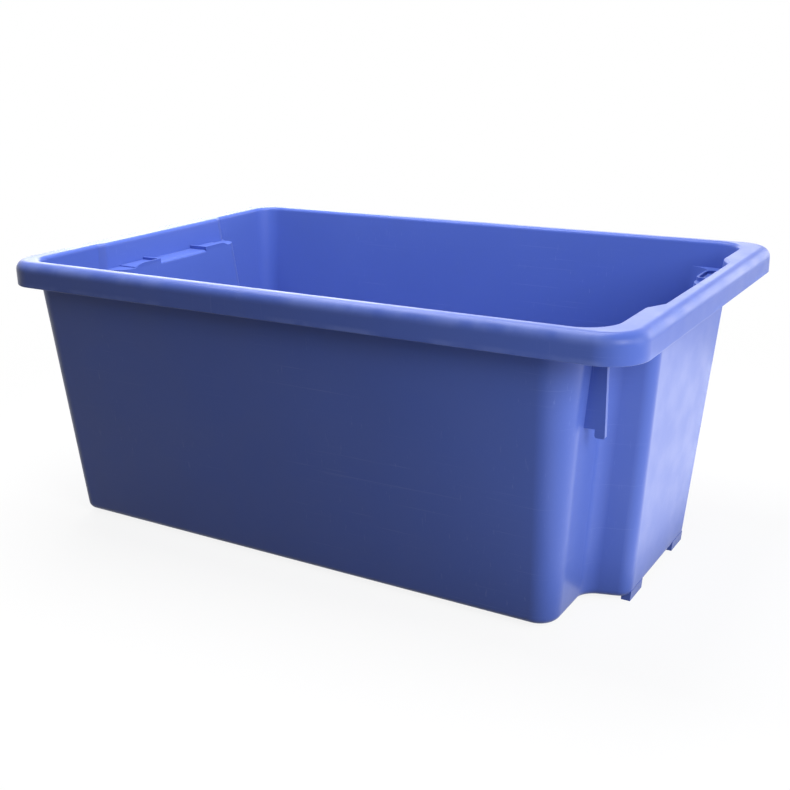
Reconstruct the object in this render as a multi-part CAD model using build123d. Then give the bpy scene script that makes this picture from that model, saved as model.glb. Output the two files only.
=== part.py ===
from build123d import *
import math
import os

# A stack-and-nest bin: one moulding, divided where its working features meet.
# X runs along the length, with the foot end at +X and the ledge end at -X.
# Y runs across, with the front at -Y.
# Z is up, and the origin is on the surface that the feet stand on, under the middle of the rim.

# Overall size, in millimetres
rim_length = 645.0
rim_width = 413.0
height = 276.0

# Walls and floor
wall = 2.5
base_gap = 4.5
base_edge_radius = 8.0

# Rim: a flat deck with a turned-down skirt
rim_depth = 24.0
rim_edge_radius = 9.5
rim_corner_radius = 34.0
skirt_edge_radius = 1.0
mouth_radius = 4.0

# Width of the deck from the skirt's face to each wall's outside face, level with the deck
side_deck = 13.6
panel_deck = 15.4
corner_deck = 25.0
column_deck = 50.5
riser_deck = 24.5
leg_deck = 21.0

# Slope of each wall from the vertical
side_draft_degrees = 6.5
end_draft_degrees = 5.0
column_draft_degrees = 5.5
leg_draft_degrees = 2.4
flank_draft_degrees = 4.0

# Shelves that carry the bin above
ledge_drop = 26.5
ledge_edge_radius = 3.0
stack_ledge_width = 23.5

# Foot end: centre panel between two flutes, and the step above the shelves
corner_width = 94.9
panel_edge_radius = 13.0
flute_run = 11.0
flute_radius = 16.0
corner_step_width = 99.9
corner_step_run = 19.0
column_radius_low = 20.0
column_radius_high = 30.0

# Ledge end: recessed wall between two corner legs, and the step above the shelf
leg_width = 102.4
recess_run = 2.0
recess_radius = 16.0
riser_step_run = 8.0
leg_edge_radius = 12.0
leg_radius_low = 13.0
leg_radius_high = 24.0
step_radius = 6.0

# Feet
foot_height = 9.5
panel_foot_inset = 6.0
panel_foot_length = 30.0
panel_foot_thickness = 8.3
leg_foot_length = 14.0
leg_foot_thickness = 17.0
leg_foot_setback = 17.0

# Rests for the feet of the bin above, and the low walls that keep them there
pad_height = 1.0
rest_clearance = 3.0
pocket_clearance = 13.0
stop_thickness = 2.5
lip_thickness = 2.2
lip_height = 2.7
lip_end_run = 13.0
pocket_radius = 8.0

# Hooked ribs that stand on the rests of the bin below when bins are nested
nest_pitch = 75.0
rib_thickness = 4.5
hook_width = 8.5
hook_drop = 7.0
hook_radius = 2.0
hook_clearance = 3.0
foot_rib_offset = 8.0

# Worked-out widths and levels
side_half_width = rim_width / 2 - side_deck
panel_half_width = side_half_width - corner_width
step_half_width = side_half_width - corner_step_width
recess_half_width = side_half_width - leg_width
floor_top = base_gap + wall
ledge_top = height - ledge_drop
ledge_bottom = ledge_top - wall
stack_level = ledge_top + pad_height
lip_top = stack_level + lip_height
hook_bottom = stack_level - nest_pitch
skirt_bottom = height - rim_depth
deck_bottom = height - wall
everywhere = (-rim_length, rim_length)
tiny = 1e-3


def fall(z, draft_degrees):
    """How far a wall of this slope has moved inwards at height z, from its place level with the deck."""
    return (height - z) * math.tan(math.radians(draft_degrees))


def side_at(z):
    return side_half_width - fall(z, side_draft_degrees)


def panel_at(z):
    return rim_length / 2 - panel_deck - fall(z, end_draft_degrees)


def corner_riser_at(z):
    return rim_length / 2 - corner_deck - fall(z, end_draft_degrees)


def column_at(z):
    return rim_length / 2 - column_deck - fall(z, column_draft_degrees)


def riser_at(z):
    return rim_length / 2 - riser_deck - fall(z, end_draft_degrees)


def recess_at(z):
    return riser_at(z) - stack_ledge_width


def leg_at(z):
    return rim_length / 2 - leg_deck - fall(z, leg_draft_degrees)


def panel_half_at(z):
    return panel_half_width - fall(z, flank_draft_degrees)


def step_half_at(z):
    return step_half_width - fall(z, flank_draft_degrees)


def recess_half_at(z):
    return recess_half_width + fall(z, flank_draft_degrees)


def between(low, high, z):
    """A radius that grows steadily from the floor to the deck."""
    return low + (high - low) * (z - base_gap) / (height - base_gap)


def outline(z, above_ledge, inset=0.0):
    """The walls' plan at height z, moved inwards: x, y and radius of its corners, counter-clockwise."""
    recess_half = recess_half_at(z)
    column_radius = between(column_radius_low, column_radius_high, z)
    leg_radius = between(leg_radius_low, leg_radius_high, z)
    if above_ledge:
        panel_half = step_half_at(z)
        back = [
            (panel_at(z), panel_half, step_radius),
            (corner_riser_at(z), panel_half + corner_step_run, step_radius),
            (corner_riser_at(z), side_at(z), column_radius),
            (-leg_at(z), side_at(z), leg_radius),
            (-leg_at(z), recess_half + riser_step_run, step_radius),
            (-riser_at(z), recess_half, step_radius),
        ]
    else:
        panel_half = panel_half_at(z)
        back = [
            (panel_at(z), panel_half, panel_edge_radius),
            (column_at(z), panel_half + flute_run, flute_radius),
            (column_at(z), side_at(z), column_radius),
            (-leg_at(z), side_at(z), leg_radius),
            (-leg_at(z), recess_half + recess_run, leg_edge_radius),
            (-recess_at(z), recess_half, recess_radius),
        ]
    front = [(x, -y, radius) for x, y, radius in reversed(back)]
    return move_inwards(back + front, inset)


def move_inwards(corners, inset):
    """Shift every straight side of a closed outline inwards, with its rounds kept concentric."""
    moved = []
    for i, (x, y, radius) in enumerate(corners):
        here = Vector(x, y)
        before = (here - Vector(*corners[i - 1][:2])).normalized()
        after = (Vector(*corners[(i + 1) % len(corners)][:2]) - here).normalized()
        turn = before.cross(after).Z
        normals = Vector(-before.Y, before.X) + Vector(-after.Y, after.X)
        shift = normals * (inset / (1 + before.dot(after)))
        moved.append((x + shift.X, y + shift.Y, radius - math.copysign(inset, turn)))
    return moved


def plan_face(corners, z):
    """A flat face at height z inside an outline with rounded corners."""
    points = [(x, y, z) for x, y, _ in corners]
    return make_face(FilletPolyline(*points, radius=[radius for _, _, radius in corners], close=True))


def wall_face(lower, upper):
    """The face between a lower and an upper edge, flat where the two are straight and parallel."""
    parallel = (lower % 0.5).cross(upper % 0.5).length < tiny
    if lower.geom_type == GeomType.LINE and parallel:
        return make_face(Polyline(lower @ 0, lower @ 1, upper @ 1, upper @ 0, close=True)).face()
    return Face.make_surface_from_curves(lower, upper)


def tapered(low, high, above_ledge, inset=0.0):
    """The solid inside the walls' outline between two heights."""
    plans = [plan_face(outline(z, above_ledge, inset), z).face() for z in (low, high)]
    lower, upper = [plan.outer_wire().order_edges() for plan in plans]
    sides = [wall_face(*edges) for edges in zip(lower, upper)]
    return Solid(Shell(sides + plans))


def block(x, y, z):
    """A box between two values on each axis."""
    size = [axis[1] - axis[0] for axis in (x, y, z)]
    return Pos(x[0], y[0], z[0]) * Box(*size, align=(Align.MIN, Align.MIN, Align.MIN))


def rim_block(inset, low, high, edge_radius):
    """The solid inside the rim's outline, with a round along its upper edge."""
    plan = RectangleRounded(rim_length - 2 * inset, rim_width - 2 * inset, rim_corner_radius - inset)
    solid = Pos(0, 0, low) * extrude(plan, high - low)
    if edge_radius == 0:
        return solid
    return fillet(solid.edges().group_by(Axis.Z)[-1], edge_radius)


def rounded_base(solid, radius):
    return fillet(solid.edges().group_by(Axis.Z)[0], radius)


def make_shell():
    """The solid inside the walls' outside faces, and the whole bin as one thin shell."""
    outside = rounded_base(tapered(base_gap, ledge_bottom, False), base_edge_radius)
    outside += tapered(ledge_bottom, height, True)
    cavity = rounded_base(tapered(floor_top, ledge_top, False, wall), base_edge_radius - wall)
    cavity += tapered(ledge_top, height + wall, True, wall)
    rim = rounded_base(rim_block(0, skirt_bottom, height, rim_edge_radius), skirt_edge_radius)
    rim -= rim_block(wall, skirt_bottom, deck_bottom, rim_edge_radius - wall)
    shell = rim + outside - cavity
    deck = shell.faces().filter_by(GeomType.PLANE).sort_by(Axis.Z)[-1]
    return outside, fillet(deck.inner_wires()[0].edges(), mouth_radius)


def round_brink(shelf, half_width):
    """Round the middle of the edge where the shelf at the ledge end drops into the bin."""
    zone = block(everywhere, (-half_width, half_width), everywhere)
    middle = shelf & zone
    brink = middle.edges().filter_by(Axis.Y).group_by(Axis.Z)[-1].sort_by(Axis.X)[-1]
    return shelf - zone + fillet(brink, ledge_edge_radius)


def divide(shell):
    """Cut the front half and the middle of the shell where their features meet."""
    pieces = {}
    rest = shell

    def take(name, zone):
        nonlocal rest
        pieces[name] = rest & zone
        rest -= zone

    upper = (ledge_top, height)
    slab = (ledge_bottom, ledge_top)
    deck = (deck_bottom - mouth_radius, height)
    corner_x = rim_length / 2 - rim_corner_radius
    corner_y = rim_width / 2 - rim_corner_radius
    foot_side = (0, rim_length)
    ledge_side = (-rim_length, 0)
    middle_y = (-corner_y, corner_y)

    # Pieces that cross the middle
    skirt_x = rim_length / 2 - rim_edge_radius
    take("skirt_foot_end", block((skirt_x, rim_length), middle_y, everywhere))
    take("skirt_ledge_end", block((-rim_length, -skirt_x), middle_y, everywhere))
    take("deck_foot_end", block(foot_side, middle_y, deck))
    take("deck_ledge_end", block(ledge_side, middle_y, deck))
    floor_zone = plan_face(outline(base_gap, False, base_edge_radius), base_gap)
    take("floor_pan", extrude(floor_zone, wall))
    panel_y = panel_half_at(base_gap) - panel_edge_radius
    take("foot_panel", block(foot_side, (-panel_y, panel_y), everywhere))
    riser_y = recess_half_width + riser_step_run + step_radius
    take("ledge_riser", block(ledge_side, (-riser_y, riser_y), upper))
    shelf_y = recess_half_at(ledge_top)
    recess_y = recess_half_width - recess_radius
    brink_z = (ledge_bottom - ledge_edge_radius, ledge_top)
    shelf_zone = block(ledge_side, (-shelf_y, shelf_y), slab)
    take("stack_ledge", shelf_zone + block(ledge_side, (-recess_y, recess_y), brink_z))
    take("recess_panel", block(ledge_side, (-recess_y, recess_y), everywhere))

    # Pieces of the front half
    rest &= block(everywhere, (-rim_width, 0), everywhere)
    front_strip = (-rim_width, -corner_y)
    skirt_strip = (-rim_width, rim_edge_radius - rim_width / 2)
    take("skirt_front", block((-corner_x, corner_x), skirt_strip, everywhere))
    take("deck_front", block((-corner_x, corner_x), front_strip, deck))
    rim_band = rim_block(0, skirt_bottom, height, 0) - rim_block(rim_edge_radius, skirt_bottom, height, 0)
    rim_zone = rim_band + block(everywhere, everywhere, deck)
    take("rim_corner_foot_front", rim_zone & block((corner_x, rim_length), front_strip, everywhere))
    take("rim_corner_ledge_front", rim_zone & block((-rim_length, -corner_x), front_strip, everywhere))
    wall_x = (leg_radius_low - leg_at(base_gap), column_at(base_gap) - column_radius_low)
    wall_y = (-rim_width, base_edge_radius + wall - side_at(base_gap))
    take("front_wall", block(wall_x, wall_y, everywhere))
    take("corner_riser_front", block(foot_side, everywhere, upper))
    shelf_x = column_at(ledge_top) - column_radius_high / 2
    shelf_y = panel_half_at(ledge_top) + flute_run
    take("corner_ledge_front", block((shelf_x, rim_length), (-rim_width, -shelf_y), slab))
    column_y = panel_half_width + flute_run + flute_radius
    take("corner_column_front", block(foot_side, (-rim_width, -column_y), everywhere))
    take("flute_front", block(foot_side, everywhere, everywhere))
    leg_y = recess_half_at(base_gap) + recess_run + leg_edge_radius
    take("corner_leg_front", block(ledge_side, (-rim_width, -leg_y), everywhere))
    take("recess_flank_front", block(ledge_side, everywhere, everywhere))
    return pieces


def upright_plate(corners, y):
    """A plate with its outline given as x and z, between two values of y."""
    face = make_face(Polyline(*[(x, y[0], z) for x, z in corners], close=True))
    return extrude(face, y[1] - y[0], dir=(0, 1, 0))


def make_foot(outside, end, face_at, thickness, y):
    """A block under the base edge, flush with the wall above it. The end is 1 at +X and -1 at -X."""
    inner = face_at(0) - thickness
    corners = [(inner, 0), (face_at(0), 0), (face_at(foot_height), foot_height), (inner, foot_height)]
    return upright_plate([(end * x, z) for x, z in corners], y) - outside


def make_rib(outside, end, wall_at, hook_start, middle_y):
    """A rib that hangs from a shelf, with a hook at its lower outer corner."""
    hook_end = hook_start + hook_width
    notch = hook_bottom + hook_drop
    corners = [
        (wall_at(notch) - wall, notch),
        (hook_start, notch),
        (hook_start, hook_bottom),
        (hook_end, hook_bottom),
        (hook_end, ledge_bottom),
        (wall_at(ledge_bottom) - wall, ledge_bottom),
    ]
    y = (middle_y - rib_thickness / 2, middle_y + rib_thickness / 2)
    rib = upright_plate([(end * x, z) for x, z in corners], y) - outside
    return fillet(rib.edges().filter_by(Axis.Y).group_by(Axis.Z)[0], hook_radius)


def make_lip(x, y):
    """A low wall along the brink of a rest, with its outer end sloping down to the shelf."""
    outer, inner = y
    low_end = (x[0], outer, ledge_top)
    high_end = (x[0], outer + lip_end_run, lip_top)
    edges = Polyline(low_end, (x[0], inner, ledge_top), (x[0], inner, lip_top), high_end)
    edges += TangentArc(high_end, low_end, tangent=(0, -1, 0))
    return extrude(make_face(edges), x[1] - x[0], dir=(1, 0, 0))


def rounded_block(x, y, z, radius):
    """A block with its upright corners rounded."""
    plan = RectangleRounded(x[1] - x[0], y[1] - y[0], radius)
    return Pos((x[0] + x[1]) / 2, (y[0] + y[1]) / 2, z[0]) * extrude(plan, z[1] - z[0])


def make_pocket(riser, start, y):
    """A low tray on a corner shelf, open towards the riser behind it."""
    end = corner_riser_at(ledge_top)
    x = (start, 2 * end - start)
    inner_x = (x[0] + lip_thickness, x[1] - lip_thickness)
    inner_y = (y[0] + lip_thickness, y[1] - lip_thickness)
    tray = rounded_block(x, y, (ledge_top, lip_top), pocket_radius)
    tray -= rounded_block(inner_x, inner_y, (stack_level, lip_top), pocket_radius - lip_thickness)
    tray &= block((start, end), y, (ledge_top, lip_top))
    return tray - riser


def make_pieces():
    """Every piece of the bin by name. The back mirrors the front."""
    outside, shell = make_shell()
    pieces = divide(shell)

    # Feet
    foot_end = panel_half_at(base_gap) - panel_foot_inset
    foot_y = (-foot_end, panel_foot_length - foot_end)
    pieces["panel_foot_front"] = make_foot(outside, 1, panel_at, panel_foot_thickness, foot_y)
    leg_y = leg_foot_setback - side_at(0)
    leg_foot_y = (leg_y, leg_y + leg_foot_length)
    pieces["leg_foot_front"] = make_foot(outside, -1, leg_at, leg_foot_thickness, leg_foot_y)

    # Rests for the panel feet, and the ribs that stand on such rests when nested
    riser = pieces["ledge_riser"]
    riser_x = -riser_at(ledge_top)
    brink_x = wall - recess_at(ledge_top)
    lip_x = (brink_x - lip_thickness, brink_x)
    rest_y = (foot_y[0] - rest_clearance, foot_y[1] + rest_clearance)
    stop_y = (rest_y[1], rest_y[1] + stop_thickness)
    pieces["stack_ledge"] = round_brink(pieces["stack_ledge"], -stop_y[1])
    pieces["stack_pad_front"] = block((riser_x, lip_x[0]), rest_y, (ledge_top, stack_level)) - riser
    pieces["pad_stop_front"] = block((riser_x, brink_x), stop_y, (ledge_top, lip_top)) - riser
    pieces["pad_lip_front"] = make_lip(lip_x, rest_y)
    hook_start = hook_clearance - lip_x[0]
    pieces["nest_rib_ledge_front"] = make_rib(outside, -1, recess_at, hook_start, sum(rest_y) / 2)

    # Pockets for the leg feet, and the ribs that stand in such pockets when nested
    pocket_start = column_at(ledge_top) - wall
    pocket_y = (leg_foot_y[0] - pocket_clearance, leg_foot_y[1] + pocket_clearance)
    pieces["stack_pocket_front"] = make_pocket(pieces["corner_riser_front"], pocket_start, pocket_y)
    hook_start = pocket_start + lip_thickness + hook_clearance
    rib_y = sum(pocket_y) / 2 - foot_rib_offset
    pieces["nest_rib_foot_front"] = make_rib(outside, 1, column_at, hook_start, rib_y)

    for name in [name for name in pieces if "front" in name]:
        pieces[name.replace("front", "back")] = mirror(pieces[name], Plane.XZ)
    return pieces


os.makedirs("parts", exist_ok=True)
for name, piece in make_pieces().items():
    export_step(piece, f"parts/{name}.step")
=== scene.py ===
from math import cos, pi, radians, sin

import bpy
from mathutils import Matrix, Vector


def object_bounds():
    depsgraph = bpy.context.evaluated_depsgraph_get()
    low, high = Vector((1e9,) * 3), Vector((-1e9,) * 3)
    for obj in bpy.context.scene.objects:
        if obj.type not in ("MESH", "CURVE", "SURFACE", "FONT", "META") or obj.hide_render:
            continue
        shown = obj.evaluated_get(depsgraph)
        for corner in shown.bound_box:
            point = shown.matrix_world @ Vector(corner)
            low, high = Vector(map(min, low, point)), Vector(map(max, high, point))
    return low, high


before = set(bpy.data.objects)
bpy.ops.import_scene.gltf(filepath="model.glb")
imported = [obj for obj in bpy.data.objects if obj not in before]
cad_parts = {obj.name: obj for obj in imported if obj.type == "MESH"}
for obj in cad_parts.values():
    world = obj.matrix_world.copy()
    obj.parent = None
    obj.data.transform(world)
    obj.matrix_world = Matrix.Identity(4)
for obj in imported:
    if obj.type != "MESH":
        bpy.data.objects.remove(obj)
cad_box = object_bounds()

# Camera, fitted to the rim, base and feet in the photograph with the bin's size held
CAMERA_AZIMUTH = 31.194
CAMERA_ELEVATION = 17.837
CAMERA_ROLL = -1.025
CAMERA_DISTANCE = 1.161249
CAMERA_TARGET = Vector((0.000172, 0.0, 0.127975))
SENSOR_WIDTH = 36.0
FOCAL_PIXELS = 1134.304
IMAGE_PIXELS = 790

# Colours, as linear red, green and blue
PLASTIC_BLUE = (0.064, 0.113, 0.430, 1.0)
PLASTIC_BLUE_PALE = (0.076, 0.129, 0.465, 1.0)
# Paler blue for scuffs, and for the painted highlight along the rim's outer top edge and the skirt's
# lower edge
SCUFFED_AND_HIGHLIGHT_BLUE = (0.170, 0.230, 0.560, 1.0)
FLOOR_PALE = (0.90, 0.90, 0.90, 1.0)
FLOOR_BOUNCE = (0.12, 0.12, 0.12, 1.0)
WHITE = (1.0, 1.0, 1.0, 1.0)

# Level of the even light from all round, and how white the floor is close to the bin
AMBIENT = 0.02
NEAR_FLOOR = 0.88

# Floor: half its side, and the distances over which it fades to white
FLOOR_HALF = 8.0
FLOOR_FADE = (0.35, 1.1)
FLOOR_ROUGHNESS = 0.9

# Gloss of the plastic
PLASTIC_IOR = 1.5
PLASTIC_SPECULAR = 0.18
PLASTIC_SHEEN = 0.06
ROUGHNESS_RANGE = (0.28, 0.36)
WORN_ROUGHNESS = 0.35

# Where rubbing fades: height above the ground, depth below the rim's top and depth behind its outer
# faces; the bands below the rim's top are also painted highlight
GROUND_RUB = (0.0045, 0.0068)
RIM_RUB_AND_HIGHLIGHT_DEPTH = (0.012, 0.004)
SKIRT_RUB_AND_HIGHLIGHT_DEPTH = (0.022, 0.018)
OUTER_DEPTH = (0.008, 0.003)
# How much paler rubbing and the painted highlight bands make the plastic, and how much scratches do
RUB_AND_HIGHLIGHT_STRENGTH = 0.45
SCRATCH_STRENGTH = 0.30

# Noises: scale and detail
PATCH_NOISE = (22.0, 5.0)
SCRATCH_NOISE = (1.0, 2.0)
SCATTER_NOISE = (7.0, 3.0)
TINT_NOISE = (9.0, 4.0)
GLOSS_NOISE = (30.0, 6.0)
WAVE_NOISE = (6.0, 1.0)
GRAIN_NOISE = (1800.0, 2.0)

# Levels of a noise at which its mask starts and is full
PATCH_LEVELS = (0.42, 0.66)
ALONG_LEVELS = (0.66, 0.74)
ACROSS_LEVELS = (0.67, 0.75)
SCATTER_LEVELS = (0.46, 0.64)
GLOSS_LEVELS = (0.30, 0.70)

# Scratches: stretch of their noise along each axis, and its turn in degrees
ALONG_STRETCH = (9.0, 16.0, 750.0)
ALONG_TURN = (4.0, 3.0, 0.0)
ACROSS_STRETCH = (620.0, 620.0, 11.0)
ACROSS_TURN = (14.0, -18.0, 9.0)

# Relief: its height in metres, and its strength
WAVE_RELIEF = (0.002, 0.5)
GRAIN_RELIEF = (0.0002, 0.06)

# Softboxes: name, place, point they face, width and height, radiance
SOFTBOXES = [
    ("over", (-0.2, 0.05, 0.95), (-0.2, 0.05, 0.0), (0.85, 0.6), 8.0),
    ("right", (2.3, 0.1, 1.0), (0.0, 0.0, 0.15), (1.6, 1.3), 3.4),
    ("front_right", (1.15, -0.65, 0.8), (0.25, 0.0, 0.15), (0.6, 0.6), 10.5),
    ("back", (-1.3, 2.2, 1.1), (0.0, 0.0, 0.25), (2.4, 0.8), 2.0),
    ("back_right", (1.1, 2.0, 0.6), (0.0, 0.0, 0.15), (1.4, 1.0), 3.0),
    ("left", (-1.6, 1.4, 0.8), (0.0, 0.0, 0.15), (1.4, 1.0), 2.0),
    ("table", (0.65, 0.0, 0.004), (0.65, 0.0, 1.0), (0.68, 1.3), 1.3),
]


def add_camera():
    """Set up the camera at the photograph's viewing angle."""
    azimuth, elevation, roll = map(radians, (CAMERA_AZIMUTH, CAMERA_ELEVATION, CAMERA_ROLL))
    back = Vector((sin(azimuth) * cos(elevation), -cos(azimuth) * cos(elevation), sin(elevation)))
    level = Vector((0, 0, 1)).cross(back).normalized()
    upright = back.cross(level)
    right = cos(roll) * level + sin(roll) * upright
    up = cos(roll) * upright - sin(roll) * level
    camera = bpy.data.objects.new("camera", bpy.data.cameras.new("camera"))
    camera.data.sensor_fit = "HORIZONTAL"
    camera.data.sensor_width = SENSOR_WIDTH
    camera.data.lens = SENSOR_WIDTH * FOCAL_PIXELS / IMAGE_PIXELS
    turn = Matrix((right, up, back)).transposed().to_4x4()
    camera.matrix_world = Matrix.Translation(CAMERA_TARGET + back * CAMERA_DISTANCE) @ turn
    bpy.context.scene.collection.objects.link(camera)
    bpy.context.scene.camera = camera


def add_softbox(name, place, aim, size, radiance):
    """A soft rectangular light, which the camera doesn't see."""
    light = bpy.data.lights.new(name, "AREA")
    light.shape = "RECTANGLE"
    light.size, light.size_y = size
    light.energy = radiance * pi * light.size * light.size_y
    lamp = bpy.data.objects.new(name, light)
    turn = (Vector(aim) - Vector(place)).to_track_quat("-Z", "Y").to_matrix().to_4x4()
    lamp.matrix_world = Matrix.Translation(place) @ turn
    lamp.visible_camera = False
    bpy.context.scene.collection.objects.link(lamp)


def plastic():
    """Satin moulded plastic with a fine grain, slight waves, uneven gloss and light scuffs, and pale
    bands painted as highlights along the rim's outer top edge and the skirt's lower edge.
    """
    material = bpy.data.materials.new("moulded_plastic")
    material.use_nodes = True
    nodes, links = material.node_tree.nodes, material.node_tree.links
    shader = nodes["Principled BSDF"]
    shader.inputs["IOR"].default_value = PLASTIC_IOR
    shader.inputs["Specular IOR Level"].default_value = PLASTIC_SPECULAR
    shader.inputs["Sheen Weight"].default_value = PLASTIC_SHEEN
    place = nodes.new("ShaderNodeTexCoord").outputs["Object"]

    def feed(socket, value):
        """Link another node's output to a socket, or set the socket to a number."""
        if isinstance(value, bpy.types.NodeSocket):
            links.new(value, socket)
        else:
            socket.default_value = value

    def maths(operation, first, second=0.0):
        node = nodes.new("ShaderNodeMath")
        node.operation = operation
        feed(node.inputs[0], first)
        feed(node.inputs[1], second)
        return node.outputs["Value"]

    def step(value, low, high, start=0.0, end=1.0):
        """Smooth change from start to end while a value goes from low to high."""
        node = nodes.new("ShaderNodeMapRange")
        node.interpolation_type = "SMOOTHSTEP"
        feed(node.inputs["Value"], value)
        node.inputs["From Min"].default_value = low
        node.inputs["From Max"].default_value = high
        node.inputs["To Min"].default_value = start
        node.inputs["To Max"].default_value = end
        return node.outputs["Result"]

    def noise(scale, detail, stretch=(1.0, 1.0, 1.0), turn=(0.0, 0.0, 0.0)):
        """Noise over the whole bin, finer along the axes that the stretch makes larger."""
        mapping = nodes.new("ShaderNodeMapping")
        mapping.inputs["Rotation"].default_value = [radians(angle) for angle in turn]
        mapping.inputs["Scale"].default_value = stretch
        links.new(place, mapping.inputs["Vector"])
        texture = nodes.new("ShaderNodeTexNoise")
        texture.inputs["Scale"].default_value = scale
        texture.inputs["Detail"].default_value = detail
        links.new(mapping.outputs["Vector"], texture.inputs["Vector"])
        return texture.outputs["Fac"]

    def bump(height, distance, strength):
        node = nodes.new("ShaderNodeBump")
        node.inputs["Strength"].default_value = strength
        node.inputs["Distance"].default_value = distance
        feed(node.inputs["Height"], height)
        return node

    def blend(factor, first, second):
        node = nodes.new("ShaderNodeMix")
        node.data_type = "RGBA"
        feed(node.inputs["Factor"], factor)
        feed(node.inputs["A"], first)
        feed(node.inputs["B"], second)
        return node.outputs["Result"]

    axes = nodes.new("ShaderNodeSeparateXYZ")
    links.new(place, axes.inputs["Vector"])
    height = axes.outputs["Z"]
    half_length, half_width, top = cad_box[1]
    past_end = maths("SUBTRACT", maths("ABSOLUTE", axes.outputs["X"]), half_length)
    past_side = maths("SUBTRACT", maths("ABSOLUTE", axes.outputs["Y"]), half_width)
    outside = step(maths("MAXIMUM", past_end, past_side), *(-depth for depth in OUTER_DEPTH))

    # Where bins rub on the ground and on each other; the bands along the rim's outer top edge and the
    # skirt's lower edge are also painted highlight
    patches = step(noise(*PATCH_NOISE), *PATCH_LEVELS)
    low_rub = maths("MULTIPLY", step(height, *GROUND_RUB, 1.0, 0.0), patches)
    # Pale patchy bands on the rim's outer top rounding and the skirt's lower edge: rubbing, and painted
    # highlight
    rim_zone = step(height, *(top - depth for depth in RIM_RUB_AND_HIGHLIGHT_DEPTH))
    rim_rub_and_highlight = maths("MULTIPLY", maths("MULTIPLY", outside, rim_zone), patches)
    skirt_zone = step(height, *(top - depth for depth in SKIRT_RUB_AND_HIGHLIGHT_DEPTH), 1.0, 0.0)
    skirt_rub_and_highlight = maths("MULTIPLY", maths("MULTIPLY", outside, skirt_zone), patches)
    rub_and_highlight = maths("MAXIMUM", low_rub, maths("MAXIMUM", rim_rub_and_highlight, skirt_rub_and_highlight))

    # Long fine scratches in two directions, in scattered places
    along = step(noise(*SCRATCH_NOISE, ALONG_STRETCH, ALONG_TURN), *ALONG_LEVELS)
    across = step(noise(*SCRATCH_NOISE, ACROSS_STRETCH, ACROSS_TURN), *ACROSS_LEVELS)
    scattered = step(noise(*SCATTER_NOISE), *SCATTER_LEVELS)
    scratches = maths("MULTIPLY", maths("MAXIMUM", along, across), scattered)
    rubbed_and_highlight = maths("MULTIPLY", rub_and_highlight, RUB_AND_HIGHLIGHT_STRENGTH)
    scratched = maths("MULTIPLY", scratches, SCRATCH_STRENGTH)
    worn_and_highlight = maths("MAXIMUM", rubbed_and_highlight, scratched)

    tint = blend(noise(*TINT_NOISE), PLASTIC_BLUE, PLASTIC_BLUE_PALE)
    # Base colour: random tint, paler where scuffed or scratched and in the painted highlight bands
    links.new(blend(worn_and_highlight, tint, SCUFFED_AND_HIGHLIGHT_BLUE), shader.inputs["Base Color"])
    gloss = step(noise(*GLOSS_NOISE), *GLOSS_LEVELS, *ROUGHNESS_RANGE)
    links.new(maths("ADD", gloss, maths("MULTIPLY", worn_and_highlight, WORN_ROUGHNESS)), shader.inputs["Roughness"])

    waves = bump(noise(*WAVE_NOISE), *WAVE_RELIEF)
    grain = bump(noise(*GRAIN_NOISE), *GRAIN_RELIEF)
    links.new(waves.outputs["Normal"], grain.inputs["Normal"])
    links.new(grain.outputs["Normal"], shader.inputs["Normal"])
    return material


def background_rays(nodes, links):
    """One for rays that show the background: seen directly, reflected or through glass."""
    path = nodes.new("ShaderNodeLightPath")
    direct = nodes.new("ShaderNodeMath")
    direct.operation = "MAXIMUM"
    links.new(path.outputs["Is Camera Ray"], direct.inputs[0])
    links.new(path.outputs["Is Glossy Ray"], direct.inputs[1])
    either = nodes.new("ShaderNodeMath")
    either.operation = "MAXIMUM"
    links.new(direct.outputs["Value"], either.inputs[0])
    links.new(path.outputs["Is Transmission Ray"], either.inputs[1])
    return either.outputs["Value"]


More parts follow.
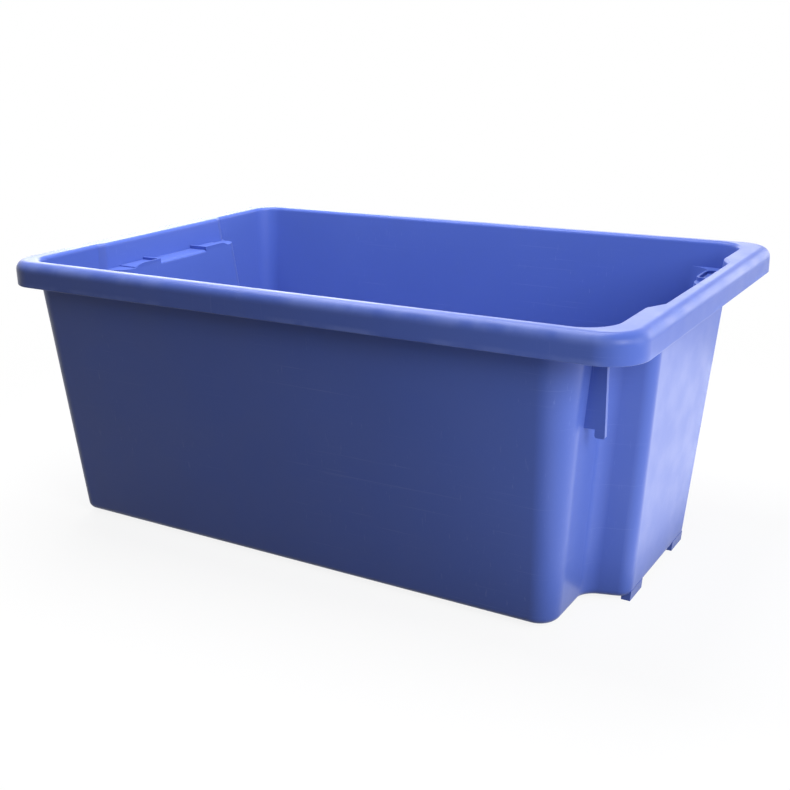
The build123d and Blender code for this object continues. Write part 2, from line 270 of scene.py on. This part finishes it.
def add_floor():
    """A wide pale floor, near white around the bin, where it keeps the soft shadow."""
    mesh = bpy.data.meshes.new("floor")
    corners = [(FLOOR_HALF * x, FLOOR_HALF * y, 0) for x, y in ((-1, -1), (1, -1), (1, 1), (-1, 1))]
    mesh.from_pydata(corners, [], [(0, 1, 2, 3)])
    floor = bpy.data.objects.new("floor", mesh)
    bpy.context.scene.collection.objects.link(floor)
    material = bpy.data.materials.new("floor")
    material.use_nodes = True
    nodes, links = material.node_tree.nodes, material.node_tree.links
    bounce = nodes["Principled BSDF"]
    bounce.inputs["Base Color"].default_value = FLOOR_BOUNCE
    bounce.inputs["Roughness"].default_value = FLOOR_ROUGHNESS
    surface = nodes.new("ShaderNodeBsdfDiffuse")
    surface.inputs["Color"].default_value = FLOOR_PALE
    glow = nodes.new("ShaderNodeEmission")
    glow.inputs["Color"].default_value = WHITE
    place = nodes.new("ShaderNodeTexCoord")
    distance = nodes.new("ShaderNodeVectorMath")
    distance.operation = "LENGTH"
    links.new(place.outputs["Object"], distance.inputs[0])
    fade = nodes.new("ShaderNodeMapRange")
    fade.interpolation_type = "SMOOTHSTEP"
    fade.inputs["From Min"].default_value = FLOOR_FADE[0]
    fade.inputs["From Max"].default_value = FLOOR_FADE[1]
    fade.inputs["To Min"].default_value = NEAR_FLOOR
    links.new(distance.outputs["Value"], fade.inputs["Value"])
    pale = nodes.new("ShaderNodeMixShader")
    links.new(fade.outputs["Result"], pale.inputs["Fac"])
    links.new(surface.outputs["BSDF"], pale.inputs[1])
    links.new(glow.outputs["Emission"], pale.inputs[2])
    mix = nodes.new("ShaderNodeMixShader")
    links.new(background_rays(nodes, links), mix.inputs["Fac"])
    links.new(bounce.outputs["BSDF"], mix.inputs[1])
    links.new(pale.outputs["Shader"], mix.inputs[2])
    links.new(mix.outputs["Shader"], nodes["Material Output"].inputs["Surface"])
    mesh.materials.append(material)


def add_world():
    """White behind the bin, and an even dim light from all round."""
    world = bpy.data.worlds.new("studio")
    bpy.context.scene.world = world
    world.use_nodes = True
    nodes, links = world.node_tree.nodes, world.node_tree.links
    sky = nodes["Background"]
    sky.inputs["Color"].default_value = WHITE
    level = nodes.new("ShaderNodeMapRange")
    level.inputs["To Min"].default_value = AMBIENT
    links.new(background_rays(nodes, links), level.inputs["Value"])
    links.new(level.outputs["Result"], sky.inputs["Strength"])


add_camera()
bin_plastic = plastic()
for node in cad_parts.values():
    node.data.materials.clear()
    node.data.materials.append(bin_plastic)
add_floor()
add_world()
for softbox in SOFTBOXES:
    add_softbox(*softbox)
bpy.context.scene.view_settings.view_transform = "Standard"
